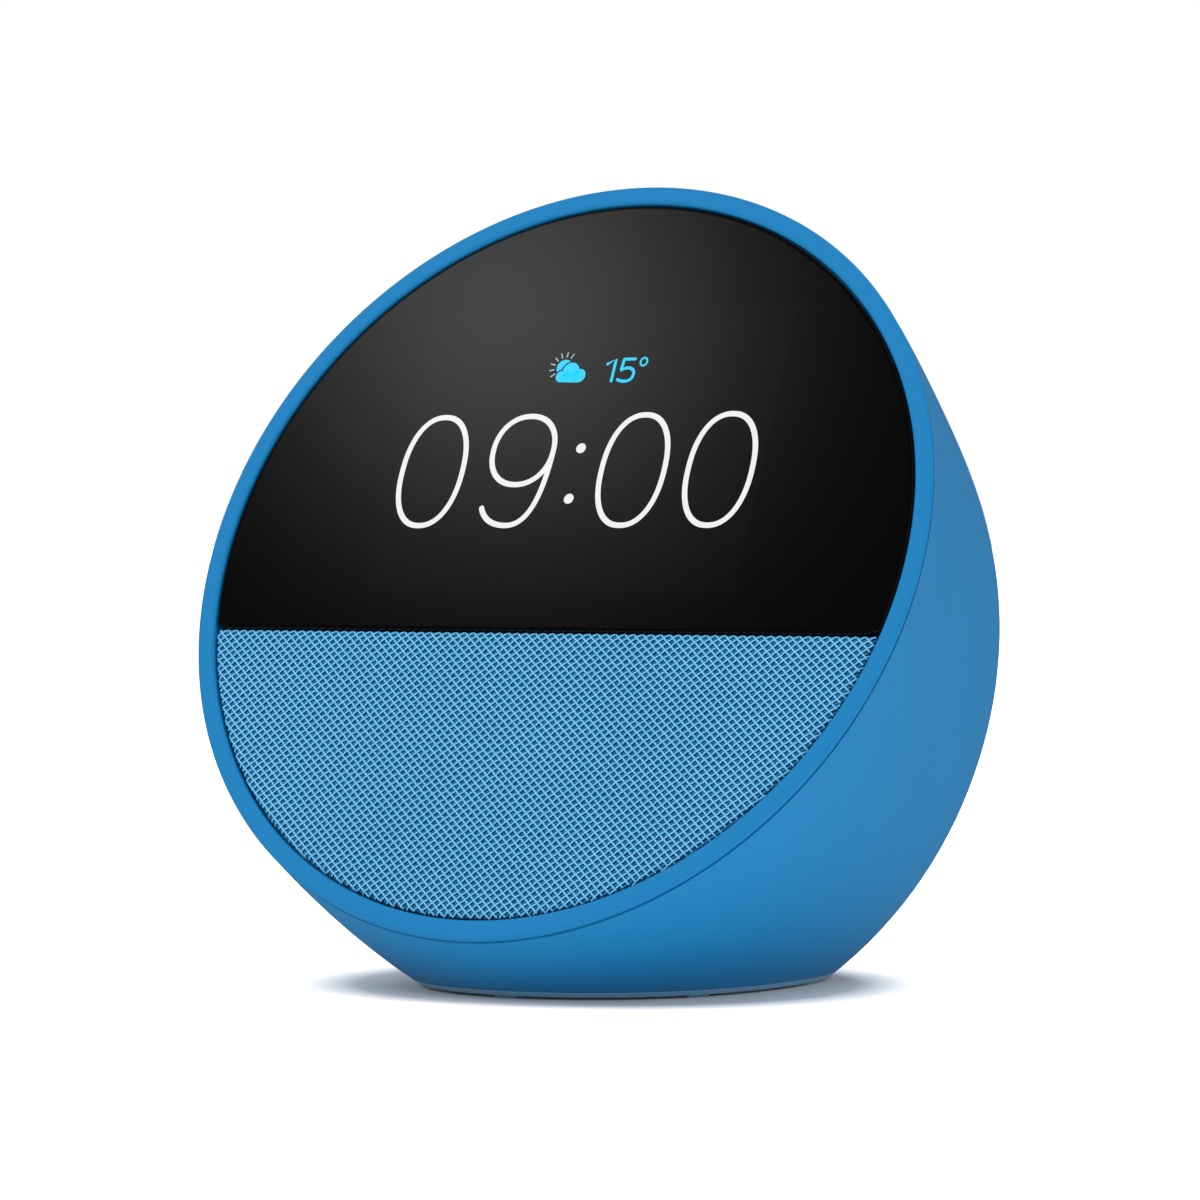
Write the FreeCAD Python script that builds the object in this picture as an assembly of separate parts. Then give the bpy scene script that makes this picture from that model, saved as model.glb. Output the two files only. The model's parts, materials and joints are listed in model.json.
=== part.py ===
import FreeCAD, Part
import math
import os

# Smart display: a round tilted face on a rounded housing that stands on a flat oval base.
# Millimetres, +Z up, origin on the table under the centre of the bounding box, face looking towards -Y.
# Most parts are drawn in the face frame (x, u, s): x to the right, u up along the tilted face and s
# backwards from the bezel's front plane. Parts of the base and the power inlet are drawn in the row frame.

V = FreeCAD.Vector

# --- overall shape -------------------------------------------------------------------------------------
FACE_TILT = 25.38            # the face leans back this far from vertical, degrees
FACE_CENTRE_Y = -27.3        # centre of the bezel's front plane
FACE_CENTRE_Z = 59.9
BEZEL_R = 56.5
# Control rows of the housing's outer surface, front to back: depth s, centre u, half height, half width.
BODY_ROWS = [
    (0.0, 0.0, BEZEL_R, BEZEL_R),
    (41.11, -3.17, 65.99, 45.68),
    (55.39, 3.32, 44.99, 39.86),
    (73.88, 5.16, 60.0, 47.21),
    (73.88, -2.15, 0.0, 0.0),
]
WALL = 2.2

# --- front module --------------------------------------------------------------------------------------
BEZEL_INNER_R = 53.84
BEZEL_DEPTH = 3.2
BEZEL_LIP = 0.9              # depth of the bezel's outer edge, in front of the parting line
BEZEL_WALL_R = 54.5          # the bezel's inner wall, which the housing's front edge laps over
SEAM = 0.3                   # parting line between bezel and housing
LAP_GAP = 0.15
LEDGE_FRONT = 1.8
LEDGE_R = 50.2
SPIGOT_R = 51.6
SPIGOT_END = 6.1
HOOK_ANGLES = (0, 50, 130, 180, 235, 305)
GLASS_R = 53.55
GLASS_FRONT = 0.3
GLASS_BACK = 1.6
CHORD_U = -11.75             # lower edge of the glass
GRILLE_TOP_U = -11.95
FABRIC_FRONT = 0.15
FABRIC_THICKNESS = 0.55
GRILLE_HOLE_R = 1.2
GRILLE_PITCH = 3.4
LCD_X = 30.0
LCD_BOTTOM_U = -9.5
LCD_TOP_U = 39.0
LCD_BACK = 3.2
BACKLIGHT_BACK = 5.9

# --- chassis and electronics ---------------------------------------------------------------------------
CHASSIS_R = 51.4
CHASSIS_FRONT = 6.2
CHASSIS_BACK = 8.2
CHASSIS_SCREW_R = 48.0
CHASSIS_SCREW_ANGLES = (20, 160, 200, 340)
BOARD_FRONT = 16.0
BOARD_BACK = 17.2
BOARD_SCREWS = [(-26.0, 4.0), (26.0, 4.0), (-26.0, 38.0), (26.0, 38.0)]
SPREADER_FRONT = 20.2
SPREADER_BACK = 21.7

# --- speaker, 44 mm across -----------------------------------------------------------------------------
SPEAKER_U = -27.4
SPEAKER_R = 22.0
SPEAKER_FRONT = 9.0
CONE_TRAVEL = 1.5
COIL_R = 7.9
EAR_ANGLES = (45, 135, 225, 315)
EAR_R = 22.3

# --- buttons -------------------------------------------------------------------------------------------
BUTTONS = {
    "button_volume_down": (-16.5, 49.0),
    "button_mic_mute": (0.0, 53.6),
    "button_volume_up": (16.5, 49.0),
}
BUTTON_S = 14.0
BUTTON_R = 4.8
BUTTON_HOLE_R = 5.1
BUTTON_FLANGE_R = 6.0
BUTTON_PROUD = 0.15
BUTTON_BOARD_TOP = 45.0
SWITCH_TOP = 46.7
PLUNGER_TOP = 47.2
MICROPHONES = [(-25.5, 10.3), (-8.25, 10.3), (8.25, 10.3), (25.5, 10.3)]

# --- base ----------------------------------------------------------------------------------------------
BASE_Y = -9.3
BASE_BAND_BOTTOM = 0.4
HOUSING_BOTTOM = 1.2
FLOOR_BOTTOM = 3.0
FLOOR_TOP = 4.8
FOOT_TABS_Y = -12.8
FOOT_TAB_WIDTH = 3.3
BASE_SCREW_ANGLES = (35, 145, 215, 325)

# --- power inlet ---------------------------------------------------------------------------------------
INLET_Z = 17.0
RECESS_R = 6.0
RECESS_FLOOR_Y = 28.6
SOCKET_R = 2.15
PIN_R = 0.825
SOCKET_DEPTH = 9.7
INLET_SCREWS_X = (-7.0, 7.0)


def face_placement():
    rotation = FreeCAD.Rotation(V(1, 0, 0), 90.0 - FACE_TILT)
    return FreeCAD.Placement(V(0, FACE_CENTRE_Y, FACE_CENTRE_Z), rotation)


def to_row(shape):
    """Move a shape drawn in the face frame into the row frame."""
    placed = shape.copy()
    placed.Placement = face_placement().multiply(placed.Placement)
    return placed


def disc(radius, front, back, x=0.0, u=0.0):
    return Part.makeCylinder(radius, back - front, V(x, u, -back), V(0, 0, 1))


def ring(outer, inner, front, back, x=0.0, u=0.0):
    return disc(outer, front, back, x, u).cut(disc(inner, front - 1, back + 1, x, u))


def slab(x0, x1, u0, u1, front, back):
    return Part.makeBox(x1 - x0, u1 - u0, back - front, V(x0, u0, -back))


def block(x0, x1, y0, y1, z0, z1):
    return Part.makeBox(x1 - x0, y1 - y0, z1 - z0, V(x0, y0, z0))


def turned(points, u):
    """Turn a closed (radius, s) outline about the line through (0, u) along s."""
    wire = Part.makePolygon([V(r, u, -s) for r, s in points + points[:1]])
    return Part.Face(wire).revolve(V(0, u, 0), V(0, 0, 1), 360)


def upright(radius, x, s, low, high):
    """A cylinder along the u direction."""
    return Part.makeCylinder(radius, high - low, V(x, low, -s), V(0, 1, 0))


def at_angle(radius, angle, u=0.0):
    a = math.radians(angle)
    return radius * math.cos(a), u + radius * math.sin(a)


def strip(path, thickness, x0, x1):
    """A thin band bent along a path of (u, s) points."""
    pieces = []
    for (u0, s0), (u1, s1) in zip(path, path[1:]):
        length = math.hypot(u1 - u0, s1 - s0)
        piece = Part.makeBox(x1 - x0, length + thickness, thickness, V(x0, -thickness / 2, -thickness / 2))
        turn = math.degrees(math.atan2(s0 - s1, u1 - u0))
        piece.Placement = FreeCAD.Placement(V(0, u0, -s0), FreeCAD.Rotation(V(1, 0, 0), turn))
        pieces.append(piece)
    return fused(pieces)


def lead(points, radius):
    """A thin wire along straight runs between the given points, rounded where it bends."""
    places = [V(x, u, -s) for x, u, s in points]
    pieces = []
    for start, end in zip(places, places[1:]):
        run = end.sub(start)
        pieces.append(Part.makeCylinder(radius, run.Length, start, run))
    for bend in places[1:-1]:
        pieces.append(Part.makeSphere(radius, bend))
    return pieces[0].multiFuse(pieces[1:])


def fused(shapes):
    result = shapes[0]
    if len(shapes) > 1:
        result = shapes[0].multiFuse(shapes[1:])
    return result.removeSplitter()


def group(shapes):
    """Separate identical solids kept in one node."""
    return Part.makeCompound(shapes)


def body(inset=0.0):
    """The housing's outer shape as a solid in the face frame, optionally shrunk by a wall thickness."""
    depth = BODY_ROWS[-1][0]
    ways = [(1, 0), (1, 1), (0, 1), (-1, 1), (-1, 0), (-1, -1), (0, -1), (1, -1), (1, 0)]
    poles = []
    weights = []
    for index, (cx, cy) in enumerate(ways):
        column = []
        for s, centre, high, wide in BODY_ROWS:
            step = inset if high > 0 else 0.0
            column.append(V((wide - step) * cx, centre + (high - step) * cy, -s * (depth - inset) / depth))
        poles.append(column)
        weight = 1.0 if index % 2 == 0 else math.sqrt(0.5)
        weights.append([weight] * len(BODY_ROWS))
    surface = Part.BSplineSurface()
    surface.buildFromPolesMultsKnots(
        poles, [3, 2, 2, 2, 3], [5, 5], [0, 0.25, 0.5, 0.75, 1], [0, 1], False, False, 2, 4, weights)
    side = surface.toShape()
    front = Part.Face(Part.Wire([Part.makeCircle(BEZEL_R - inset, V(0, 0, 0), V(0, 0, 1))]))
    shell = Part.makeShell([side, front])
    shell.sewShape()
    solid = Part.makeSolid(shell)
    if solid.Volume < 0:
        solid.reverse()
    return solid


# --- front module --------------------------------------------------------------------------------------

def segment(radius, top_u, front, back):
    """The part of a disc below the line u = top_u."""
    return disc(radius, front, back).common(slab(-70, 70, -70, top_u, front - 1, back + 1))


def front_bezel():
    outer = body().common(slab(-70, 70, -70, 70, 0, BEZEL_LIP))
    rounding = turned([(0, 0), (BEZEL_R - 0.45, 0), (BEZEL_R - 0.13, 0.13), (BEZEL_R + 0.03, 0.5),
                       (70, 0.5), (70, 10), (0, 10)], 0)
    outer = outer.common(rounding).fuse(disc(BEZEL_WALL_R, BEZEL_LIP - 0.4, BEZEL_DEPTH))
    window = turned([(0, -1), (BEZEL_INNER_R + 0.35, -1), (BEZEL_INNER_R + 0.35, 0), (BEZEL_INNER_R, 0.35),
                     (BEZEL_INNER_R, LEDGE_FRONT), (LEDGE_R, LEDGE_FRONT), (LEDGE_R, 10), (0, 10)], 0)
    pieces = [outer.cut(window), ring(SPIGOT_R, LEDGE_R + 0.4, BEZEL_DEPTH - 0.5, SPIGOT_END)]
    for angle in HOOK_ANGLES:
        arm = slab(49.6, 51.3, -2.5, 2.5, SPIGOT_END - 0.5, 9.2)
        arm = arm.cut(slab(49.0, 50.5, -3, 3, 0, CHASSIS_BACK + 0.1))
        arm.rotate(V(0, 0, 0), V(0, 0, 1), angle)
        pieces.append(arm)
    return fused(pieces)


def cover_glass():
    plate = disc(GLASS_R, GLASS_FRONT, GLASS_BACK).common(slab(-70, 70, CHORD_U, 70, 0, 5))
    rim = [edge for edge in plate.Edges if abs(edge.BoundBox.ZMin + GLASS_FRONT) < 1e-6]
    return plate.makeFillet(0.25, rim)


def grille_frame():
    plate = segment(GLASS_R - 0.45, GRILLE_TOP_U - 0.45, FABRIC_FRONT + FABRIC_THICKNESS + 0.02, 1.75)
    holes = []
    row_step = GRILLE_PITCH * math.sqrt(3) / 2
    for row in range(-6, 7):
        offset = GRILLE_PITCH / 2 if row % 2 else 0.0
        for column in range(-7, 8):
            x = column * GRILLE_PITCH + offset
            u = SPEAKER_U + row * row_step
            reach = math.hypot(x, u) + GRILLE_HOLE_R
            near_speaker = math.hypot(x, u - SPEAKER_U) < SPEAKER_R - GRILLE_HOLE_R
            if near_speaker and reach < GLASS_R - 2 and u + GRILLE_HOLE_R < GRILLE_TOP_U - 2.5:
                holes.append(disc(GRILLE_HOLE_R, 0, 3, x, u))
    return plate.cut(Part.makeCompound(holes))


def grille_fabric():
    skin = segment(GLASS_R, GRILLE_TOP_U, FABRIC_FRONT, 1.75)
    rim = [edge for edge in skin.Edges if abs(edge.BoundBox.ZMin + FABRIC_FRONT) < 1e-6]
    skin = skin.makeFillet(0.5, rim)
    return skin.cut(segment(GLASS_R - 0.42, GRILLE_TOP_U - 0.42, FABRIC_FRONT + FABRIC_THICKNESS, 4))


def display_adhesive():
    band = ring(GLASS_R - 0.3, LEDGE_R + 0.2, GLASS_BACK, LEDGE_FRONT)
    band = band.common(slab(-70, 70, CHORD_U + 0.2, 70, 0, 5))
    bar = slab(-49.5, 49.5, CHORD_U + 0.2, LCD_BOTTOM_U - 0.4, GLASS_BACK, LEDGE_FRONT)
    return fused([band, bar])


def lcd_panel():
    return slab(-LCD_X, LCD_X, LCD_BOTTOM_U, LCD_TOP_U, GLASS_BACK, LCD_BACK)


def backlight_frame():
    return slab(-LCD_X, LCD_X, LCD_BOTTOM_U, LCD_TOP_U, LCD_BACK, BACKLIGHT_BACK)


def display_flex():
    path = [(10.0, 6.0), (2.0, 6.0), (2.0, 11.0), (4.4, 14.3), (7.0, 14.3)]
    return strip(path, 0.15, -8, 8)


def chassis_screw_places():
    return [at_angle(CHASSIS_SCREW_R, angle) for angle in CHASSIS_SCREW_ANGLES]


def speaker_ear_places():
    return [at_angle(EAR_R, angle, SPEAKER_U) for angle in EAR_ANGLES]


def front_chassis():
    pieces = [disc(CHASSIS_R, CHASSIS_FRONT, CHASSIS_BACK)]
    pieces.append(slab(-47.6, 47.6, -13.5, LCD_BOTTOM_U - 0.3, LEDGE_FRONT, CHASSIS_FRONT + 0.5))
    for x, u in BOARD_SCREWS:
        pieces.append(disc(2.6, CHASSIS_BACK - 0.5, BOARD_FRONT, x, u))
    for x, u in speaker_ear_places():
        pieces.append(disc(2.2, 4.4, CHASSIS_BACK, x, u))
    plate = fused(pieces).common(disc(CHASSIS_R, 0, 20))
    cutters = [disc(18.4, CHASSIS_FRONT - 0.3, 10, 0, SPEAKER_U), slab(-9, 9, 1.1, 2.9, 5, 9)]
    for x, u in BOARD_SCREWS:
        cutters.append(disc(1.0, 12.5, 17, x, u))
    for x, u in speaker_ear_places():
        cutters.append(disc(0.85, 5.0, 10, x, u))
    for x, u in chassis_screw_places():
        cutters.append(disc(1.4, 5, 10, x, u))
    for angle in HOOK_ANGLES:
        notch = slab(50.2, 53, -2.9, 2.9, 5, 9)
        notch.rotate(V(0, 0, 0), V(0, 0, 1), angle)
        cutters.append(notch)
    return plate.cut(Part.makeCompound(cutters))


def pan_screw(x, u, head_front, head_r, head_high, shank_r, shank_end):
    """A pan head screw whose head sits at head_front; the shank runs backwards or forwards from it."""
    head_back = head_front + head_high
    head = disc(head_r, head_front, head_back, x, u)
    recess = slab(x - 0.9, x + 0.9, u - 0.25, u + 0.25, 0, 0.6)
    cross = fused([recess, slab(x - 0.25, x + 0.25, u - 0.9, u + 0.9, 0, 0.6)])
    if shank_end > head_back:
        shank = disc(shank_r, head_back - 0.2, shank_end, x, u)
        cross.translate(V(0, 0, -(head_front - 0.1)))
    else:
        shank = disc(shank_r, shank_end, head_front + 0.2, x, u)
        cross.translate(V(0, 0, -(head_back - 0.5)))
    return fused([head, shank]).cut(cross)


def chassis_screws():
    return group([pan_screw(x, u, CHASSIS_FRONT - 1.3, 2.3, 1.3, 1.05, 16.0)
                  for x, u in chassis_screw_places()])


# --- speaker -------------------------------------------------------------------------------------------

def speaker_gasket():
    return ring(EAR_R - 1.3, 18.7, CHASSIS_BACK, SPEAKER_FRONT, 0, SPEAKER_U)


def speaker_basket():
    outline = [(18.2, 9.0), (22.0, 9.0), (22.0, 10.3), (20.6, 10.3), (14.2, 19.0), (14.2, 22.0),
               (11.6, 22.0), (11.6, 18.2), (12.8, 17.6), (19.0, 10.3), (18.2, 10.3)]
    pieces = [turned(outline, SPEAKER_U)]
    for x, u in speaker_ear_places():
        pieces.append(disc(2.0, 9.0, 10.3, x, u))
    basket = fused(pieces).common(disc(CHASSIS_R, 0, 40))
    cutters = []
    for x, u in speaker_ear_places():
        cutters.append(disc(1.1, 8, 12, x, u))
    for quarter in range(4):
        window = slab(13.5, 21, -6, 6, 11.4, 17.0)
        window.rotate(V(0, 0, 0), V(0, 0, 1), 90 * quarter)
        window.translate(V(0, SPEAKER_U, 0))
        cutters.append(window)
    return basket.cut(Part.makeCompound(cutters))


def speaker_cone():
    outline = [(16.6, 9.6), (16.6, 10.0), (8.3, 14.6), (8.3, 15.4), (7.95, 15.4), (7.95, 14.3)]
    return turned(outline, SPEAKER_U)


def speaker_dust_cap():
    dome = turned([(0, 12.2), (3.5, 12.6), (6.6, 13.8), (7.9, 14.9), (7.9, 15.4), (6.4, 14.3), (3.4, 13.1),
                   (0, 12.7)], SPEAKER_U)
    return dome


def speaker_voice_coil():
    former = ring(COIL_R, COIL_R - 0.25, 15.4, 24.4, 0, SPEAKER_U)
    winding = ring(COIL_R + 0.35, COIL_R - 0.05, 20.6, 24.4, 0, SPEAKER_U)
    return fused([former, winding])


def speaker_surround():
    outline = [(16.7, 9.7), (17.0, 8.9), (17.6, 8.6), (18.0, 8.9), (18.15, 9.4), (18.15, 10.2), (17.85, 10.2),
               (17.8, 9.5), (17.5, 9.0), (17.2, 9.2), (17.0, 10.0), (16.7, 10.0)]
    return turned(outline, SPEAKER_U)


def speaker_spider():
    radii = [8.2, 9.0, 9.7, 10.4, 11.1, 11.5]
    near = [(r, 17.9 + (0.25 if i % 2 else -0.25)) for i, r in enumerate(radii)]
    far = [(r, s + 0.25) for r, s in reversed(near)]
    return turned(near + far, SPEAKER_U)


def speaker_yoke():
    cup = disc(11.5, 19.6, 29.4, 0, SPEAKER_U).cut(disc(9.0, 18, 26.9, 0, SPEAKER_U))
    return cup


def speaker_magnet():
    return disc(6.8, 23.6, 26.9, 0, SPEAKER_U)


def speaker_pole_plate():
    return disc(7.2, 21.3, 23.6, 0, SPEAKER_U)


def speaker_terminals():
    top = SPEAKER_U + 21.5
    plate = slab(-4.5, 4.5, top - 0.75, top, 10.35, 13.5)
    pins = [slab(x - 0.8, x + 0.8, top, top + 0.3, 10.6, 14.5) for x in (-2.6, 2.6)]
    return group([plate] + pins)


def speaker_screws():
    return group([pan_screw(x, u, 10.3, 1.6, 1.1, 0.8, 5.6) for x, u in speaker_ear_places()])


def cup_shape(front, back, inset):
    """The speaker enclosure's outer or inner shape: wide at the chassis, narrow and higher at the back."""
    wide = Part.Wire([Part.makeCircle(26.6 - inset, V(0, SPEAKER_U - 0.4, -front), V(0, 0, 1))])
    narrow = Part.Wire([Part.makeCircle(18.6 - inset, V(0, SPEAKER_U + 3.9, -back), V(0, 0, 1))])
    return Part.makeLoft([wide, narrow], True, True)


def speaker_enclosure():
    outer = cup_shape(CHASSIS_BACK, 35.0, 0.0)
    keep = body(WALL + 0.4).common(disc(CHASSIS_R, 0, 60))
    hollow = body(WALL + 1.9).common(disc(CHASSIS_R - 1.5, 0, 60))
    inner = cup_shape(CHASSIS_BACK - 0.01, 33.4, 1.5).common(hollow)
    wire_hole = upright(1.9, -8.9, 15.2, -12, 2)
    return outer.common(keep).cut(inner).cut(wire_hole)


def speaker_wires():
    red = lead([(-2.6, -5.75, 15.0), (-6.6, -7.4, 15.1), (-9.6, -4.6, 15.1), (-10.4, -0.8, 14.6),
                (-12.4, 3.4, 14.3), (-14.2, 6.0, 14.4), (-14.76, 6.0, 14.4)], 0.4)
    black = lead([(2.6, -5.75, 15.0), (-2.0, -8.0, 16.2), (-6.2, -7.4, 16.3), (-8.2, -4.4, 15.5),
                  (-8.9, -0.6, 14.4), (-11.0, 4.6, 13.8), (-14.2, 8.0, 14.4),
                  (-14.76, 8.0, 14.4)], 0.4)
    return group([red, black])


# --- boards --------------------------------------------------------------------------------------------

def main_board():
    board = slab(-30, 30, 0, 42, BOARD_FRONT, BOARD_BACK)
    return board.cut(Part.makeCompound([disc(1.3, 10, 20, x, u) for x, u in BOARD_SCREWS]))


def processor():
    return slab(-7, 7, 18, 32, BOARD_BACK, 18.5)


def memory_chips():
    return group([slab(9, 15.5, 17, 26, BOARD_BACK, 18.2), slab(9, 15.5, 27.2, 33, BOARD_BACK, 18.2)])


def shield_can():
    shell = slab(-9.5, 17.5, 15, 35, BOARD_BACK, 19.4)
    return shell.cut(slab(-9.3, 17.3, 15.2, 34.8, BOARD_BACK - 1, 19.2))


def thermal_pad():
    return slab(-8.5, 16.5, 16, 34, 19.4, SPREADER_FRONT)


def heat_spreader():
    pieces = [slab(-29, 29, 1.5, 40.5, SPREADER_FRONT, SPREADER_BACK)]
    for x, u in BOARD_SCREWS:
        pieces.append(disc(2.4, BOARD_BACK, SPREADER_BACK, x, u))
    plate = fused(pieces)
    return plate.cut(Part.makeCompound([disc(1.2, 10, 30, x, u) for x, u in BOARD_SCREWS]))


def board_screws():
    return group([pan_screw(x, u, SPREADER_BACK, 2.1, 1.2, 0.95, 13.0) for x, u in BOARD_SCREWS])


def board_connectors():
    display = slab(-9, 9, 5, 8.5, 14.45, BOARD_FRONT)
    speaker = slab(-19, -14.8, 4.5, 9.5, 13.4, BOARD_FRONT)
    button = slab(-6, 6, 36.5, 40, 14.6, BOARD_FRONT)
    power = slab(-5, 5, 1.5, 6.0, BOARD_BACK, 19.8)
    radio = [disc(1.1, 14.8, BOARD_FRONT, x, 33) for x in (-20, 20)]
    return group([display, speaker, button, power] + radio)


def power_components():
    coils = [slab(x, x + 5, u, u + 5, 13.4, BOARD_FRONT) for x, u in ((12, 8), (19, 8), (12, 16))]
    cans = [disc(2.0, 11.8, BOARD_FRONT, x, u) for x, u in ((-22, 14), (-22, 20), (21.5, 18))]
    return group(coils + cans)


def antennas():
    return group([slab(x - 6, x + 6, 27, 31, CHASSIS_BACK, 9.0) for x in (-34.0, 34.0)])


def antenna_cables():
    cables = []
    for side in (-1, 1):
        points = [(side * 31, 29, 9.45), (side * 29.6, 30.5, 11.2), (side * 25, 32.6, 12.6),
                  (side * 20.4, 33, 14.2)]
        cables.append(lead(points, 0.4))
    return group(cables)


# --- buttons and microphones ---------------------------------------------------------------------------

def symbol(name, x):
    """The raised mark on a button: minus, plus, or a microphone outline with a stroke across it."""
    if name == "button_volume_down":
        return [slab(x - 1.5, x + 1.5, 0, 90, BUTTON_S - 0.22, BUTTON_S + 0.22)]
    if name == "button_volume_up":
        return [slab(x - 1.5, x + 1.5, 0, 90, BUTTON_S - 0.22, BUTTON_S + 0.22),
                slab(x - 0.22, x + 0.22, 0, 90, BUTTON_S - 1.5, BUTTON_S + 1.5)]
    capsule = [slab(x - 0.55, x + 0.55, 0, 90, BUTTON_S - 1.2, BUTTON_S + 0.3),
               upright(0.55, x, BUTTON_S - 1.2, 0, 90), upright(0.55, x, BUTTON_S + 0.3, 0, 90)]
    stand = slab(x - 0.15, x + 0.15, 0, 90, BUTTON_S + 1.0, BUTTON_S + 2.0)
    foot = slab(x - 0.8, x + 0.8, 0, 90, BUTTON_S + 1.9, BUTTON_S + 2.2)
    stroke = slab(-2.6, 2.6, 0, 90, -0.15, 0.15)
    stroke.rotate(V(0, 0, 0), V(0, 1, 0), 45)
    stroke.translate(V(x, 0, -BUTTON_S))
    return capsule + [stand, foot, stroke]


def button(name):
    x, floor = BUTTONS[name]
    top = body()
    top.translate(V(0, BUTTON_PROUD, 0))
    above = slab(x - 20, x + 20, floor, 90, 0, 40)
    cap = upright(BUTTON_R, x, BUTTON_S, floor, 80).common(top)
    hollow_top = body(1.3)
    cap = cap.cut(upright(BUTTON_R - 1.2, x, BUTTON_S, floor - 1, 80).common(hollow_top))
    flange_top = body(WALL + 0.35)
    flange = upright(BUTTON_FLANGE_R, x, BUTTON_S, 40, 80).common(flange_top).common(above)
    lower = flange_top.copy()
    lower.translate(V(0, -1.0, 0))
    flange = flange.cut(lower.common(upright(BUTTON_R - 1.2, x, BUTTON_S, 30, 90)))
    skirt = upright(BUTTON_FLANGE_R + 1, x, BUTTON_S, 30, 90)
    skirt = skirt.cut(upright(BUTTON_R - 0.1, x, BUTTON_S, 30, 90))
    flange = flange.cut(lower.common(skirt))
    stem = upright(1.5, x, BUTTON_S, PLUNGER_TOP, 58).common(body(1.0))
    raised = body()
    raised.translate(V(0, BUTTON_PROUD + 0.12, 0))
    marks = fused(symbol(name, x)).common(raised).common(upright(BUTTON_R - 0.6, x, BUTTON_S, 40, 90))
    marks = marks.common(slab(x - 9, x + 9, SWITCH_TOP + 5, 90, 0, 40))
    marks = marks.cut(body(0.6))
    return fused([cap, flange, stem, marks])


def switch_plunger(x):
    return upright(1.0, x, BUTTON_S, SWITCH_TOP - 0.7, PLUNGER_TOP)


def tact_switches():
    switches = []
    for x, _ in BUTTONS.values():
        case = slab(x - 2.25, x + 2.25, BUTTON_BOARD_TOP, SWITCH_TOP, BUTTON_S - 2.25, BUTTON_S + 2.25)
        switches.append(case.cut(upright(1.3, x, BUTTON_S, BUTTON_BOARD_TOP + 0.3, SWITCH_TOP + 1)))
    return group(switches)


def button_board():
    return slab(-28, 28, BUTTON_BOARD_TOP - 1, BUTTON_BOARD_TOP, 8.6, 18.5)


def button_flex():
    path = [(BUTTON_BOARD_TOP - 1.15, 17.5), (BUTTON_BOARD_TOP - 1.15, 13.6), (41.2, 13.2), (38.5, 14.45)]
    return strip(path, 0.15, -5, 5)


def microphones():
    return group([slab(x - 1.5, x + 1.5, BUTTON_BOARD_TOP, BUTTON_BOARD_TOP + 0.9, s - 1.1, s + 1.1)
                  for x, s in MICROPHONES])


def microphone_boots():
    boots = []
    inside = body(WALL)
    for x, s in MICROPHONES:
        boot = upright(1.7, x, s, BUTTON_BOARD_TOP + 0.9, 80)
        bore = upright(0.7, x, s, BUTTON_BOARD_TOP, 80)
        boots.append(boot.common(inside).cut(bore))
    return group(boots)


# --- base ----------------------------------------------------------------------------------------------

def oval(half_x, half_y, z0, z1, y=BASE_Y):
    curve = Part.Ellipse(V(0, half_y, 0), V(half_x, 0, 0), V(0, 0, 0))
    face = Part.Face(Part.Wire([curve.toShape()]))
    solid = face.extrude(V(0, 0, z1 - z0))
    solid.translate(V(0, y, z0))
    return solid


def base_screw_places():
    places = []
    for angle in BASE_SCREW_ANGLES:
        a = math.radians(angle)
        places.append((19.0 * math.cos(a), BASE_Y + 24.0 * math.sin(a)))
    return places


def post(radius, x, y, z0, z1):
    return Part.makeCylinder(radius, z1 - z0, V(x, y, z0), V(0, 0, 1))


def base_plate():
    band = to_row(body()).common(block(-60, 60, -60, 60, BASE_BAND_BOTTOM, HOUSING_BOTTOM - 0.05))
    below_floor = block(-60, 60, -60, 60, HOUSING_BOTTOM - 0.5, FLOOR_BOTTOM - 0.1)
    plug = to_row(body(WALL + 0.25)).common(below_floor)
    plate = fused([band, plug])
    groove = oval(23.0, 28.0, 0, 1.0).cut(oval(15.0, 20.0, 0, 1.0))
    cutters = [groove]
    for x, y in base_screw_places():
        cutters.append(post(2.5, x, y, 0, 2.1))
        cutters.append(post(1.35, x, y, 0, 5))
    return plate.cut(Part.makeCompound(cutters))


def foot_ring():
    pad = oval(22.9, 27.9, 0, 0.95).cut(oval(15.1, 20.1, 0, 0.95))
    outline = to_row(body(0.1))
    pieces = [pad]
    for step in range(6):
        tab = block(16, 45, -FOOT_TAB_WIDTH / 2, FOOT_TAB_WIDTH / 2, 0, BASE_BAND_BOTTOM - 0.02)
        tab.rotate(V(0, 0, 0), V(0, 0, 1), -90 + 60 * step)
        tab.translate(V(0, FOOT_TABS_Y, 0))
        tab = tab.cut(oval(15.5, 20.5, -1, 2))
        pieces.append(tab.common(outline))
    return fused(pieces)


def base_screws():
    screws = []
    for x, y in base_screw_places():
        head = post(2.1, x, y, 1.15, 2.1)
        shank = post(1.0, x, y, 2.0, 9.0)
        slot = block(x - 0.9, x + 0.9, y - 0.25, y + 0.25, 1.0, 1.65)
        cross = block(x - 0.25, x + 0.25, y - 0.9, y + 0.9, 1.0, 1.65)
        screws.append(fused([head, shank]).cut(fused([slot, cross])))
    return group(screws)


# --- housing -------------------------------------------------------------------------------------------

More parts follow.
